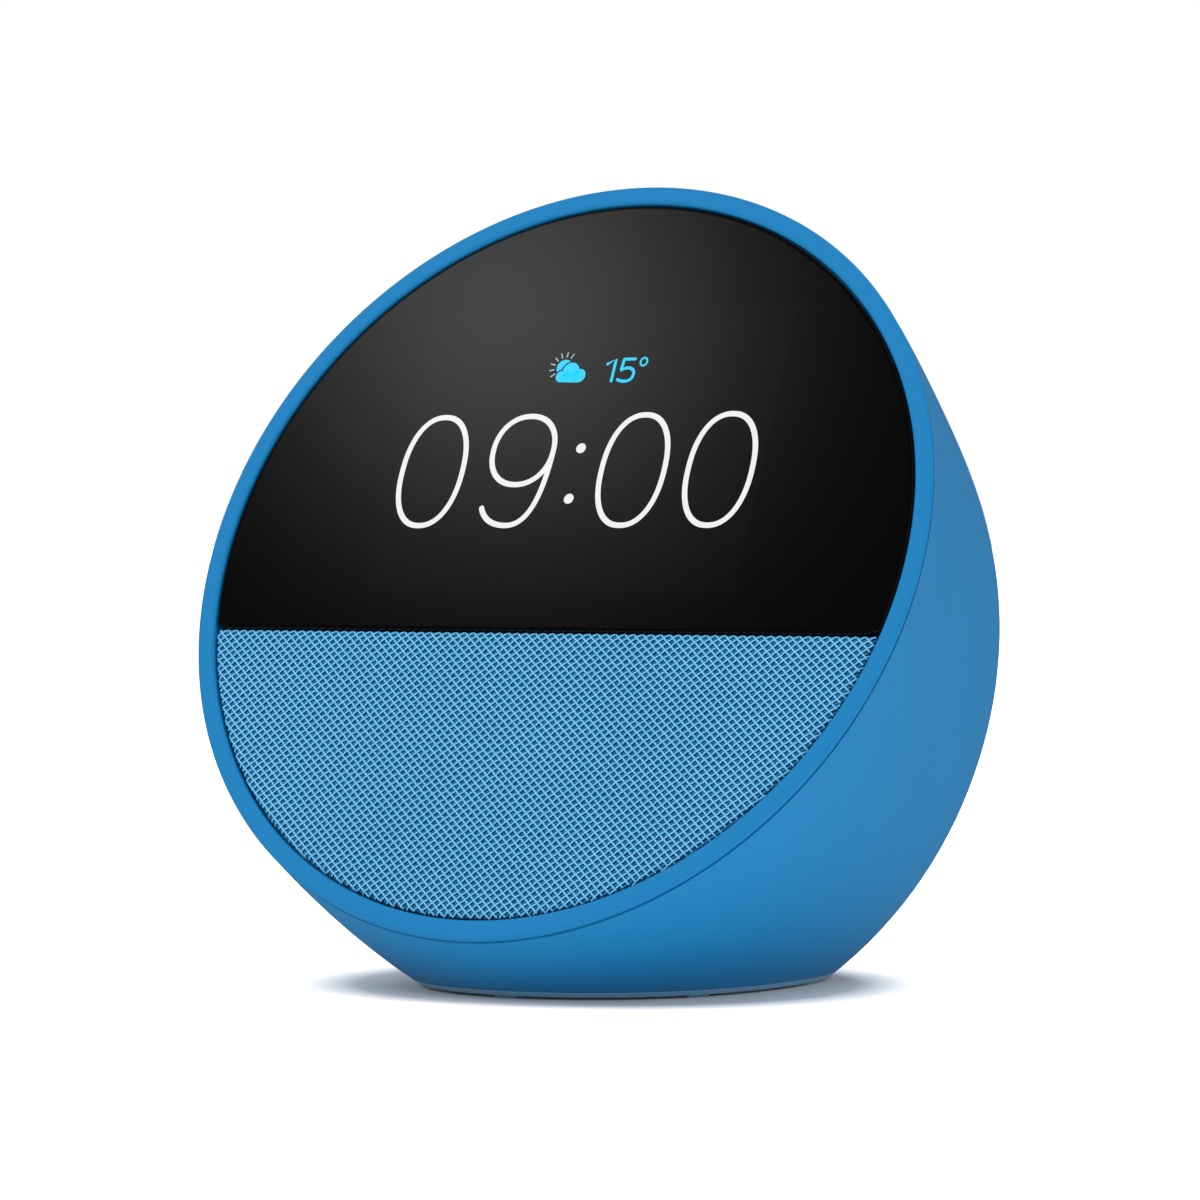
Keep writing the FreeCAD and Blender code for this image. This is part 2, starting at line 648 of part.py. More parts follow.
def rear_housing():
    outer = to_row(body()).common(block(-90, 90, -90, 90, HOUSING_BOTTOM, 200))
    inner = to_row(body(WALL))
    shell = outer.cut(inner)
    floor = to_row(body(WALL - 0.3)).common(block(-60, 60, -60, 60, FLOOR_BOTTOM, FLOOR_TOP))
    floor = floor.cut(oval(15.0, 20.0, 0, 20))
    pieces = [shell, floor]
    inside = to_row(body(0.8)).common(block(-90, 90, -90, 90, FLOOR_BOTTOM + 0.5, 200))
    for x, u in chassis_screw_places():
        pieces.append(to_row(disc(3.4, CHASSIS_BACK + 0.1, 26.0, x, u)).common(inside))
    for x, y in base_screw_places():
        pieces.append(post(2.9, x, y, FLOOR_BOTTOM + 0.5, 10.0).common(inside))
    collar = Part.makeCylinder(RECESS_R + 1.5, 20, V(0, RECESS_FLOOR_Y - 1.5, INLET_Z), V(0, 1, 0))
    pieces.append(collar.common(outer))
    for x in INLET_SCREWS_X:
        pieces.append(post(1.9, x, RECESS_FLOOR_Y - 9.3, FLOOR_TOP - 1, INLET_Z - 6.05))
    housing = pieces[0]
    for piece in pieces[1:]:
        housing = housing.fuse(piece)
    cutters = [to_row(slab(-90, 90, -90, 90, -5, BEZEL_LIP + SEAM))]
    cutters.append(to_row(disc(BEZEL_WALL_R + LAP_GAP, -5, BEZEL_DEPTH + SEAM)))
    cutters.append(Part.makeCylinder(RECESS_R, 40, V(0, RECESS_FLOOR_Y, INLET_Z), V(0, 1, 0)))
    cutters.append(Part.makeCylinder(3.2, 10, V(0, RECESS_FLOOR_Y - 5, INLET_Z), V(0, 1, 0)))
    for x, u in chassis_screw_places():
        cutters.append(to_row(disc(1.1, 5, 17, x, u)))
    for x, y in base_screw_places():
        cutters.append(post(1.05, x, y, 2, 9.2))
    for x in INLET_SCREWS_X:
        cutters.append(post(0.85, x, RECESS_FLOOR_Y - 9.3, FLOOR_TOP + 1, INLET_Z))
    for x, _ in BUTTONS.values():
        cutters.append(to_row(upright(BUTTON_HOLE_R, x, BUTTON_S, 45, 90)))
    for x, s in MICROPHONES:
        cutters.append(to_row(upright(0.5, x, s, 44, 90)))
    for cutter in cutters:
        housing = housing.cut(cutter)
    return housing


# --- power inlet ---------------------------------------------------------------------------------------

def along_y(radius, y0, y1, x=0.0, z=INLET_Z):
    return Part.makeCylinder(radius, y1 - y0, V(x, y0, z), V(0, 1, 0))


def power_inlet_shell():
    case = block(-4.5, 4.5, RECESS_FLOOR_Y - 12.8, RECESS_FLOOR_Y - 1.6, INLET_Z - 4.8, INLET_Z + 4.4)
    nose = along_y(3.0, RECESS_FLOOR_Y - 1.8, RECESS_FLOOR_Y - 0.1)
    shell = fused([case, nose])
    socket = along_y(SOCKET_R, RECESS_FLOOR_Y - SOCKET_DEPTH, RECESS_FLOOR_Y + 10)
    return shell.cut(fused([socket, along_y(0.62, RECESS_FLOOR_Y - 15, RECESS_FLOOR_Y - 8)]))


def power_inlet_pin():
    tail = along_y(0.6, RECESS_FLOOR_Y - 13.5, RECESS_FLOOR_Y - SOCKET_DEPTH + 0.1)
    stem = along_y(PIN_R, RECESS_FLOOR_Y - SOCKET_DEPTH, RECESS_FLOOR_Y - 1.1)
    tip = Part.makeCone(PIN_R, 0.4, 0.5, V(0, RECESS_FLOOR_Y - 1.1, INLET_Z), V(0, 1, 0))
    return fused([tail, stem, tip])


def power_inlet_contact():
    return block(-0.8, 0.8, RECESS_FLOOR_Y - 8.9, RECESS_FLOOR_Y - 2.8, INLET_Z + 1.72, INLET_Z + 1.9)


def inlet_board():
    low = INLET_Z - 6.0
    board = block(-9.5, 9.5, RECESS_FLOOR_Y - 14.8, RECESS_FLOOR_Y - 3.8, low, INLET_Z - 4.85)
    holes = [post(1.1, x, RECESS_FLOOR_Y - 9.3, low - 1, low + 3) for x in INLET_SCREWS_X]
    return board.cut(fused(holes))


def inlet_screws():
    screws = []
    y = RECESS_FLOOR_Y - 9.3
    top = INLET_Z - 4.85
    for x in INLET_SCREWS_X:
        head = post(1.8, x, y, top, top + 1.05)
        shank = post(0.8, x, y, top - 4.7, top + 0.2)
        slot = block(x - 0.8, x + 0.8, y - 0.22, y + 0.22, top + 0.55, top + 2)
        screws.append(fused([head, shank]).cut(slot))
    return group(screws)


def inlet_cable():
    leads = []
    turn = face_placement().inverse()
    for x in (-1.6, 1.6):
        start = turn.multVec(V(x, RECESS_FLOOR_Y - 15.0, INLET_Z - 3.4))
        bend = turn.multVec(V(x, RECESS_FLOOR_Y - 19.0, INLET_Z - 1.0))
        points = [(x, start.y, -start.z), (x, bend.y, -bend.z), (x, -3.0, 38.0), (x, -0.9, 27.0),
                  (x, -1.2, 20.0), (x, 0.7, 18.6), (x, 1.46, 18.6)]
        leads.append(to_row(lead(points, 0.55)))
    return group(leads)


def export(name, shape):
    shape.exportStep("parts/" + name + ".step")


FACE_PARTS = {
    "front_bezel": front_bezel,
    "cover_glass": cover_glass,
    "grille_frame": grille_frame,
    "grille_fabric": grille_fabric,
    "display_adhesive": display_adhesive,
    "lcd_panel": lcd_panel,
    "backlight_frame": backlight_frame,
    "display_flex": display_flex,
    "front_chassis": front_chassis,
    "chassis_screws": chassis_screws,
    "speaker_gasket": speaker_gasket,
    "speaker_basket": speaker_basket,
    "speaker_cone": speaker_cone,
    "speaker_dust_cap": speaker_dust_cap,
    "speaker_voice_coil": speaker_voice_coil,
    "speaker_surround": speaker_surround,
    "speaker_spider": speaker_spider,
    "speaker_yoke": speaker_yoke,
    "speaker_magnet": speaker_magnet,
    "speaker_pole_plate": speaker_pole_plate,
    "speaker_terminals": speaker_terminals,
    "speaker_screws": speaker_screws,
    "speaker_enclosure": speaker_enclosure,
    "speaker_wires": speaker_wires,
    "main_board": main_board,
    "processor": processor,
    "memory_chips": memory_chips,
    "shield_can": shield_can,
    "thermal_pad": thermal_pad,
    "heat_spreader": heat_spreader,
    "board_screws": board_screws,
    "board_connectors": board_connectors,
    "power_components": power_components,
    "antennas": antennas,
    "antenna_cables": antenna_cables,
    "tact_switches": tact_switches,
    "button_board": button_board,
    "button_flex": button_flex,
    "microphones": microphones,
    "microphone_boots": microphone_boots,
}

ROW_PARTS = {
    "base_plate": base_plate,
    "foot_ring": foot_ring,
    "base_screws": base_screws,
    "rear_housing": rear_housing,
    "power_inlet_shell": power_inlet_shell,
    "power_inlet_pin": power_inlet_pin,
    "power_inlet_contact": power_inlet_contact,
    "inlet_board": inlet_board,
    "inlet_screws": inlet_screws,
    "inlet_cable": inlet_cable,
}

os.makedirs("parts", exist_ok=True)
for part_name, build in FACE_PARTS.items():
    export(part_name, to_row(build()))
for part_name, build in ROW_PARTS.items():
    export(part_name, build())
for part_name, (place_x, _) in BUTTONS.items():
    export(part_name, to_row(button(part_name)))
    export(part_name.replace("button", "switch_plunger"), to_row(switch_plunger(place_x)))
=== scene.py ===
import json
import math
import bpy
import numpy as np
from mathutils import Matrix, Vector


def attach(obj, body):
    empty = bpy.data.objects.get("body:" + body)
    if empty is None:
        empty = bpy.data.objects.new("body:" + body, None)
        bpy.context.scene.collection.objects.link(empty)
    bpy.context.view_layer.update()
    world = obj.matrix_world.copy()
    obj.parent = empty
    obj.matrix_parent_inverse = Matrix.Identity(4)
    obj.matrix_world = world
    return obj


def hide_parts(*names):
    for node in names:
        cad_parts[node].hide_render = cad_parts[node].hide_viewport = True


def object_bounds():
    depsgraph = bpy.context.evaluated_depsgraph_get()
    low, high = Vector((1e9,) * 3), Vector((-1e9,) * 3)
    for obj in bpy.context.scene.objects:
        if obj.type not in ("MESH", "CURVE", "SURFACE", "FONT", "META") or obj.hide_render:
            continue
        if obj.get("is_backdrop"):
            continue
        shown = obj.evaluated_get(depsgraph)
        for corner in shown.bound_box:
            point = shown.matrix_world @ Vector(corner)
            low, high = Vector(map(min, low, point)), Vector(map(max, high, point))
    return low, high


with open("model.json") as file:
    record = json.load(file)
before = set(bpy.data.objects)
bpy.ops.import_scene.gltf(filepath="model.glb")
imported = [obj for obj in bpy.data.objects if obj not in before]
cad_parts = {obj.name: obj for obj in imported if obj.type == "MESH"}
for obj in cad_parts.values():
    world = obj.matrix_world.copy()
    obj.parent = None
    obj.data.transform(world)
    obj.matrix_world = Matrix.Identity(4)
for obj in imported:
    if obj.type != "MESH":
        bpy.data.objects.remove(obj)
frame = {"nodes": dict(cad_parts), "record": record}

start_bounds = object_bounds()
scene = bpy.context.scene
nodes = frame["nodes"]
ROOT = "display_body"
BUTTONS = ("volume_down", "mic_mute", "volume_up")
MM_PER_M = 1000.0            # shapes are worked out in millimetres, and the scene is in metres
TURN = 2 * math.pi

# --- the tilted face: x right, u up along the face, s backwards, all in millimetres ----------------------

TILT = math.radians(25.38)
CENTRE = np.array([0.0, -27.3, 59.9])
UP = np.array([0.0, math.sin(TILT), math.cos(TILT)])
OUT = np.array([0.0, -math.cos(TILT), math.sin(TILT)])
RIGHT = np.array([1.0, 0.0, 0.0])

# Control points of the housing from front to back: depth, centre height, half height and half width.
BODY_ROWS = np.array([
    (0.0, 0.0, 56.5, 56.5),
    (41.11, -3.17, 65.99, 45.68),
    (55.39, 3.32, 44.99, 39.86),
    (73.88, 5.16, 60.0, 47.21),
    (73.88, -2.15, 0.0, 0.0),
])
BUTTON_PROUD = 0.15          # how far the button caps stand above the housing

WINDOW_R = 53.84             # the opening in the bezel
LEDGE_R = 50.2               # the ledge the glass is bonded to
LEDGE_S = 1.8
BEZEL_LIP = 0.9              # depth of the bezel's outer edge, in front of the parting line
BEZEL_DEPTH = 3.2
BEZEL_WALL_R = 54.5          # the bezel's inner wall, behind the parting line
SPIGOT_R = 51.6
SPIGOT_INNER_R = 50.6
SPIGOT_END = 6.1

GLASS_R = 53.55
GLASS_CHORD = -11.75
GLASS_FRONT = 0.30
PICTURE_S = 0.285            # the lit picture lies just in front of the glass
SCREEN_HALF_WIDTH = 29.3
SCREEN_LOW, SCREEN_HIGH = -6.0, 37.5

CLOTH_R = 53.56
CLOTH_TOP = -11.97
CLOTH_ROUND = 0.75           # radius of the cloth's turned edge
PITCH_X = 1.40               # width and height of one diamond of the cloth's net
PITCH_U = 1.20
THREAD_R = 0.13
THREAD_SIDES = 6


def place(x, u, s):
    """Face coordinates in millimetres to the row frame in metres."""
    x, u, s = np.broadcast_arrays(np.asarray(x, float), np.asarray(u, float), np.asarray(s, float))
    points = CENTRE + x[..., None] * RIGHT + u[..., None] * UP - s[..., None] * OUT
    return points / MM_PER_M


def face_coordinates(mesh, lift=0.0):
    """A mesh's vertices in metres, and their x, u and s, with u measured from a surface lifted by lift."""
    flat = np.zeros(len(mesh.vertices) * 3)
    mesh.vertices.foreach_get("co", flat)
    spots = flat.reshape(-1, 3)
    local = spots * MM_PER_M - CENTRE
    return spots, local @ RIGHT, local @ UP - lift, -(local @ OUT)


def section(v):
    """Depth, centre height, half height and half width of the housing at v from 0 to 1, and their slopes."""
    v = np.asarray(v, float)
    weights = np.stack([math.comb(4, i) * v**i * (1 - v)**(4 - i) for i in range(5)], -1)
    slopes = np.stack([math.comb(3, i) * v**i * (1 - v)**(3 - i) for i in range(4)], -1)
    return weights @ BODY_ROWS, 4 * slopes @ np.diff(BODY_ROWS, axis=0)


V_TABLE = np.linspace(0, 1, 4001)
S_TABLE = section(V_TABLE)[0][:, 0]


def housing_frame(v, x, u):
    """The housing's section at v, its slopes, and the angle round it that points at x and u."""
    (depth, centre, high, wide), slopes = (values.T for values in section(v))
    angle = np.arctan2((u - centre) / np.maximum(high, 1e-6), x / np.maximum(wide, 1e-6))
    return (depth, centre, high, wide), slopes, angle


def body_normals(x, u, s):
    """Outward normals of the housing's smooth surface nearest to points, and the distances to it."""
    v = np.interp(s, S_TABLE, V_TABLE)
    for _ in range(12):
        (depth, centre, high, wide), (ds, dc, dh, dw), angle = housing_frame(v, x, u)
        px, pu = wide * np.cos(angle), centre + high * np.sin(angle)
        tx, tu = dw * np.cos(angle), dc + dh * np.sin(angle)
        step = ((x - px) * tx + (u - pu) * tu + (s - depth) * ds) / (tx**2 + tu**2 + ds**2)
        v = np.clip(v + 0.7 * step, 0, 0.99999)
    (depth, centre, high, wide), (ds, dc, dh, dw), angle = housing_frame(v, x, u)
    along = np.stack([dw * np.cos(angle), dc + dh * np.sin(angle), ds], -1)
    around = np.stack([-wide * np.sin(angle), high * np.cos(angle), 0 * angle], -1)
    normal = np.cross(around, along)
    normal /= np.linalg.norm(normal, axis=-1, keepdims=True) + 1e-12
    foot = np.stack([wide * np.cos(angle), centre + high * np.sin(angle), depth], -1)
    gap = np.linalg.norm(np.stack([x, u, s], -1) - foot, axis=-1)
    world = normal[..., :1] * RIGHT + normal[..., 1:2] * UP - normal[..., 2:] * OUT
    return world, gap


def new_object(name, data):
    piece = bpy.data.objects.new(name, data)
    scene.collection.objects.link(piece)
    return piece


def new_mesh(name, points, faces, material, angle=None):
    """A mesh object: flat shaded, or smooth up to an edge angle in degrees."""
    mesh = bpy.data.meshes.new(name)
    mesh.from_pydata([tuple(p) for p in np.asarray(points).reshape(-1, 3)], [], [tuple(f) for f in faces])
    mesh.validate()
    if angle is not None:
        mesh.shade_smooth()
        mesh.set_sharp_from_angle(angle=math.radians(angle))
    mesh.materials.append(material)
    return new_object(name, mesh)


def add(piece, body, *replaced, slot):
    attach(piece, body)
    if replaced:
        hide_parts(*replaced)
    return piece


def loops_to_quads(rows, count, closed=False):
    """Faces between neighbouring loops of count points, and from the last loop to the first if closed."""
    faces = []
    for row in range(rows if closed else rows - 1):
        after = (row + 1) % rows
        for k in range(count):
            n = (k + 1) % count
            faces.append((row * count + k, row * count + n, after * count + n, after * count + k))
    return faces


# --- materials -------------------------------------------------------------------------------------------

def linear(r, g, b):
    """A linear colour with alpha from 8-bit sRGB values."""
    values = [c / 255 / 12.92 if c <= 10 else ((c / 255 + 0.055) / 1.055) ** 2.4 for c in (r, g, b)]
    return (*values, 1.0)


def new_node(tree, kind, operation=None, slots=None):
    """A shader node whose inputs, by name or number, are set to values or linked to other nodes' outputs."""
    node = tree.nodes.new(kind)
    if operation:
        node.operation = operation
    for key, value in (slots or {}).items():
        if isinstance(value, bpy.types.NodeSocket):
            tree.links.new(value, node.inputs[key])
        else:
            node.inputs[key].default_value = value
    return node


def surface(name, colour, rough, metallic=0.0, grain=0.0, grain_size=4000.0, bump=0.0, mottle=0.06, **values):
    """A shader with a faint uneven tone and, where asked, a fine surface grain."""
    material = bpy.data.materials.new(name)
    material.use_nodes = True
    tree = material.node_tree
    shader = tree.nodes["Principled BSDF"]
    shader.inputs["Roughness"].default_value = rough
    shader.inputs["Metallic"].default_value = metallic
    for key, value in values.items():
        shader.inputs[key.replace("_", " ")].default_value = value
    where = new_node(tree, "ShaderNodeTexCoord").outputs["Object"]
    if mottle > 0:
        patch = new_node(tree, "ShaderNodeTexNoise", slots={"Scale": 45.0, "Detail": 3.0, "Vector": where})
        tone = new_node(tree, "ShaderNodeMixRGB", slots={
            "Color1": tuple(c * (1 - mottle) for c in colour) + (1.0,),
            "Color2": tuple(min(1.0, c * (1 + mottle)) for c in colour) + (1.0,),
            "Fac": patch.outputs["Fac"]})
        tree.links.new(tone.outputs["Color"], shader.inputs["Base Color"])
    else:
        shader.inputs["Base Color"].default_value = tuple(colour) + (1.0,)
    if bump > 0:
        fine = new_node(tree, "ShaderNodeTexNoise", slots={
            "Scale": grain_size, "Detail": 4.0, "Vector": where})
        height = fine.outputs["Fac"]
        raised = new_node(tree, "ShaderNodeBump", slots={
            "Strength": bump, "Distance": 0.0001, "Height": height})
        tree.links.new(raised.outputs["Normal"], shader.inputs["Normal"])
        if grain > 0:
            spread = new_node(tree, "ShaderNodeMapRange", slots={
                "To Min": rough - grain, "To Max": rough + grain, "Value": height})
            tree.links.new(spread.outputs["Result"], shader.inputs["Roughness"])
    return material


def glowing(name, colour, strength):
    material = surface(name, (0.02, 0.02, 0.02), 0.08, mottle=0.0)
    shader = material.node_tree.nodes["Principled BSDF"]
    shader.inputs["Emission Color"].default_value = colour
    shader.inputs["Emission Strength"].default_value = strength
    return material


FINISHES = {
    "housing_blue": dict(colour=(0.004, 0.194, 0.455), rough=0.5, grain=0.05, bump=0.12, grain_size=5200.0,
                         mottle=0.03, Specular_IOR_Level=0.25),
    "bezel_blue": dict(colour=(0.004, 0.182, 0.440), rough=0.42, bump=0.05, grain_size=6000.0, mottle=0.02,
                       Specular_IOR_Level=0.2),
    "base_blue": dict(colour=(0.170, 0.400, 0.620), rough=0.5, bump=0.1),
    "black_glass": dict(colour=(0.0010, 0.0010, 0.0011), rough=0.035, mottle=0.1),
    "black_plastic": dict(colour=(0.020, 0.020, 0.022), rough=0.5, bump=0.1),
    "foot_rubber": dict(colour=(0.150, 0.340, 0.520), rough=0.75, bump=0.2),
    "adhesive": dict(colour=(0.015, 0.015, 0.015), rough=0.8),
    "lcd_glass": dict(colour=(0.02, 0.02, 0.025), rough=0.1),
    "backlight_steel": dict(colour=(0.6, 0.6, 0.62), rough=0.3, metallic=1.0, bump=0.05),
    "flex_amber": dict(colour=(0.50, 0.20, 0.03), rough=0.35, bump=0.05),
    "screw_steel": dict(colour=(0.55, 0.55, 0.57), rough=0.28, metallic=1.0, bump=0.05),
    "foam": dict(colour=(0.03, 0.03, 0.03), rough=0.95, bump=0.5, grain_size=2500.0),
    "cone_paper": dict(colour=(0.03, 0.03, 0.03), rough=0.85, bump=0.4, grain_size=2500.0),
    "surround_rubber": dict(colour=(0.012, 0.012, 0.012), rough=0.5, bump=0.1),
    "spider_cloth": dict(colour=(0.55, 0.32, 0.10), rough=0.9, bump=0.5, grain_size=3000.0),
    "coil_copper": dict(colour=(0.80, 0.32, 0.14), rough=0.3, metallic=1.0, bump=0.2),
    "yoke_steel": dict(colour=(0.35, 0.36, 0.38), rough=0.35, metallic=1.0, bump=0.05),
    "magnet": dict(colour=(0.30, 0.31, 0.33), rough=0.3, metallic=1.0, bump=0.05),
    "wire_black": dict(colour=(0.015, 0.015, 0.015), rough=0.45, bump=0.05),
    "board_green": dict(colour=(0.012, 0.120, 0.040), rough=0.35, bump=0.1, mottle=0.15),
    "chip_black": dict(colour=(0.018, 0.018, 0.020), rough=0.45, bump=0.1),
    "shield_tin": dict(colour=(0.62, 0.62, 0.60), rough=0.3, metallic=1.0, bump=0.08),
    "pad_grey": dict(colour=(0.22, 0.27, 0.34), rough=0.8, bump=0.2),
    "spreader_aluminium": dict(colour=(0.75, 0.76, 0.78), rough=0.38, metallic=1.0, bump=0.1),
    "connector_cream": dict(colour=(0.72, 0.68, 0.55), rough=0.4, bump=0.05),
    "contact_plate": dict(colour=(0.85, 0.83, 0.78), rough=0.15, metallic=1.0, bump=0.02),
    "switch_metal": dict(colour=(0.6, 0.6, 0.61), rough=0.3, metallic=1.0, bump=0.05),
    "boot_rubber": dict(colour=(0.03, 0.03, 0.03), rough=0.7, bump=0.1),
    "thread_light": dict(colour=(0.145, 0.500, 0.800), rough=0.8, bump=0.4, grain_size=9000.0,
                         Specular_IOR_Level=0.2),
    # the inner threads: the front threads' yarn darkened, painted shade of the holes they lie in
    "thread_painted_shade": dict(colour=(0.008, 0.190, 0.380), rough=0.75, bump=0.4, grain_size=9000.0),
    # dark navy behind the threads: painted shade for the holes of the knit
    "cloth_painted_shade": dict(colour=(0.001, 0.060, 0.140), rough=0.9, bump=0.4, grain_size=6000.0),
    # paler blue on the button symbols' tops: a painted highlight on raised marks of the housing's own blue
    "mark_painted_highlight": dict(colour=(0.30, 0.58, 0.80), rough=0.5, bump=0.05),
    "screen_field": dict(colour=(0.0018, 0.0018, 0.0019), rough=0.035, mottle=0.0),
}
M = {name: surface(name, **finish) for name, finish in FINISHES.items()}
M["screen_white"] = glowing("screen_white", linear(238, 238, 240), 1.0)
M["screen_cyan"] = glowing("screen_cyan", linear(0, 208, 250), 1.0)
M["screen_pale"] = glowing("screen_pale", linear(170, 205, 215), 0.8)

for entry in frame["record"]["subparts"]:
    shown = nodes[entry["node"]].data.materials
    shown.clear()
    shown.append(M.get(entry["material_slot"], M["thread_light"]))


# --- housing, base and buttons: the CAD meshes with the true surface's shading ---------------------------

ON_SURFACE = 0.06            # a vertex this near the smooth surface takes its normal from it
SAME_WAY = 0.93              # and only on a face that points the same way
MARK_RISE = (0.03, 0.4)      # a symbol's top lies between these heights above its cap
MARK_SAME_WAY = 0.95
MARK_LIFT = 0.01


def faces_of_corners(mesh):
    """The number of the face that each corner belongs to, in the order of the corners."""
    starts = np.zeros(len(mesh.polygons), int)
    totals = np.zeros(len(mesh.polygons), int)
    mesh.polygons.foreach_get("loop_start", starts)
    mesh.polygons.foreach_get("loop_total", totals)
    face_of_corner = np.repeat(np.arange(len(mesh.polygons)), totals)
    order = np.argsort(np.repeat(starts, totals), kind="stable")
    return face_of_corner[order]


def shaded_copy(node, name, body, slot, lift=0.0):
    """A copy of a CAD mesh whose curved outside takes its normals from the smooth housing surface."""
    mesh = nodes[node].data.copy()
    mesh.name = name
    piece = new_object(name, mesh)
    mesh.shade_smooth()
    mesh.set_sharp_from_angle(angle=math.radians(30))
    _, x, u, s = face_coordinates(mesh, lift)
    normals, gap = body_normals(x, u, s)
    corner_vertex = np.zeros(len(mesh.loops), int)
    mesh.loops.foreach_get("vertex_index", corner_vertex)
    corners = np.zeros(len(mesh.loops) * 3)
    mesh.corner_normals.foreach_get("vector", corners)
    corners = corners.reshape(-1, 3)
    faces = np.zeros(len(mesh.polygons) * 3)
    mesh.polygons.foreach_get("normal", faces)
    face_normals = faces.reshape(-1, 3)[faces_of_corners(mesh)]
    true = normals[corner_vertex]
    agreement = np.einsum("ij,ij->i", true, face_normals)
    on_surface = (gap[corner_vertex] < ON_SURFACE) & (agreement > SAME_WAY)
    corners[on_surface] = true[on_surface]
    mesh.normals_split_custom_set([tuple(n) for n in corners])
    mesh.materials.clear()
    mesh.materials.append(M[slot])
    return add(piece, body, node, slot=slot)


def raised_mark(key):
    """The top of the raised symbol on one button, drawn again in a paler blue just above the CAD's own: a
    painted highlight where the raised symbol catches the light.
    """
    mesh = nodes["button_" + key].data
    spots, x, u, s = face_coordinates(mesh, BUTTON_PROUD)
    normals, gap = body_normals(x, u, s)
    faces = []
    for face in mesh.polygons:
        corners = list(face.vertices)
        raised = gap[corners].min() > MARK_RISE[0] and gap[corners].max() < MARK_RISE[1]
        if raised and np.dot(face.normal, normals[corners[0]]) > MARK_SAME_WAY:
            faces.append(corners)
    used = sorted({k for face in faces for k in face})
    place_of = {k: n for n, k in enumerate(used)}
    piece = new_mesh("mark_" + key, spots[used] + normals[used] * MARK_LIFT / MM_PER_M,
                     [[place_of[k] for k in face] for face in faces], M["mark_painted_highlight"])
    add(piece, "button_" + key, slot="housing_blue")


shaded_copy("rear_housing", "housing_shell", ROOT, "housing_blue")
shaded_copy("base_plate", "base_band", ROOT, "base_blue")
for key in BUTTONS:
    shaded_copy("button_" + key, "cap_" + key, "button_" + key, "housing_blue", lift=BUTTON_PROUD)
    raised_mark(key)


# --- bezel: a turned ring whose outside follows the housing ----------------------------------------------

def bezel():
    steps = 720
    angle = np.linspace(0, TURN, steps, endpoint=False)
    loops = []

    def circle(radius, s):
        loops.append((radius * np.cos(angle), radius * np.sin(angle), np.full(steps, s)))

    def follow(s, inset):
        _, centre, high, wide = section(np.interp(s, S_TABLE, V_TABLE))[0]
        x, u = (wide - inset) * np.cos(angle), centre + (high - inset) * np.sin(angle)
        loops.append((x, u, np.full(steps, s)))

    ledge = [(LEDGE_R, BEZEL_DEPTH), (LEDGE_R, LEDGE_S), (WINDOW_R, LEDGE_S)]
    inner_edge = [(WINDOW_R, 0.42), (53.87, 0.30), (53.95, 0.17), (54.06, 0.07), (54.22, 0.015), (54.40, 0.0)]
    outer_edge = [(56.00, 0.0), (56.16, 0.015), (56.30, 0.07), (56.40, 0.16), (56.46, 0.28)]
    for radius, s in ledge + inner_edge + outer_edge:
        circle(radius, s)
    for s, inset in ((0.42, 0.0), (0.7, 0.0), (0.82, 0.03), (0.88, 0.08), (BEZEL_LIP, 0.16)):
        follow(s, inset)
    for radius, s in ((BEZEL_WALL_R, BEZEL_LIP), (BEZEL_WALL_R, BEZEL_DEPTH), (SPIGOT_R, BEZEL_DEPTH),
                      (SPIGOT_R, SPIGOT_END), (SPIGOT_INNER_R, SPIGOT_END), (SPIGOT_INNER_R, BEZEL_DEPTH)):
        circle(radius, s)
    points = np.concatenate([place(*loop) for loop in loops])
    faces = loops_to_quads(len(loops), steps, closed=True)
    return new_mesh("bezel_ring", points, faces, M["bezel_blue"], angle=34)


add(bezel(), ROOT, "front_bezel", slot="bezel_blue")


# --- cover glass and the cloth's outline -----------------------------------------------------------------

def cut_disc(radius, chord, upper, steps, corner):
    """The outline of a disc cut by a straight chord: its upper or lower part, with small corners."""
    half = math.acos(chord / radius)
    if upper:
        ends = (math.pi / 2 - half, math.pi / 2 + half)
    else:
        ends = (math.pi / 2 + half, math.pi / 2 - half + TURN)
    arc = np.linspace(ends[0], ends[1], steps)
    points = np.stack([radius * np.cos(arc), radius * np.sin(arc)], -1)
    points = points[np.abs(points[:, 1] - chord) > corner * 0.6]
    reach = math.sqrt(radius**2 - chord**2) - corner * 0.8
    start, stop = math.copysign(reach, points[-1][0]), math.copysign(reach, points[0][0])
    along = np.linspace(0, 1, 60)[1:-1]
    line = np.stack([start + (stop - start) * along, np.full(len(along), chord)], -1)
    return np.concatenate([points, line])


def slab_mesh(name, outline, layers, material, angle=30, back=True):
    """A plate drawn as a stack of outlines (inset, s), closed in front and, where asked, at the back."""
    count = len(outline)
    nearby = np.roll(outline, -1, 0) - np.roll(outline, 1, 0)
    outward = np.stack([nearby[:, 1], -nearby[:, 0]], -1)
    outward /= np.linalg.norm(outward, axis=1, keepdims=True)
    points = []
    for inset, s in layers:
        ring = outline - outward * inset
        points.append(place(ring[:, 0], ring[:, 1], s))
    faces = loops_to_quads(len(layers), count)
    top = (len(layers) - 1) * count
    faces.append(tuple(top + k for k in range(count)))
    if back:
        faces.append(tuple(reversed(range(count))))
    return new_mesh(name, np.concatenate(points), faces, material, angle=angle)


def cover_glass():
    """The black glass, with a rounded front edge and a second ring inside it that keeps the front flat."""
    outline = cut_disc(GLASS_R, GLASS_CHORD, True, steps=360, corner=0.5)
    sides = [(0.10, 1.6), (0.0, 1.5), (0.0, 0.58)]
    front_edge = [(0.02, 0.47), (0.08, 0.37), (0.18, 0.315), (0.30, GLASS_FRONT), (0.6, GLASS_FRONT)]
    return slab_mesh("screen_glass", outline, sides + front_edge, M["black_glass"])


add(cover_glass(), ROOT, "cover_glass", slot="black_glass")


# --- the lit picture -------------------------------------------------------------------------------------

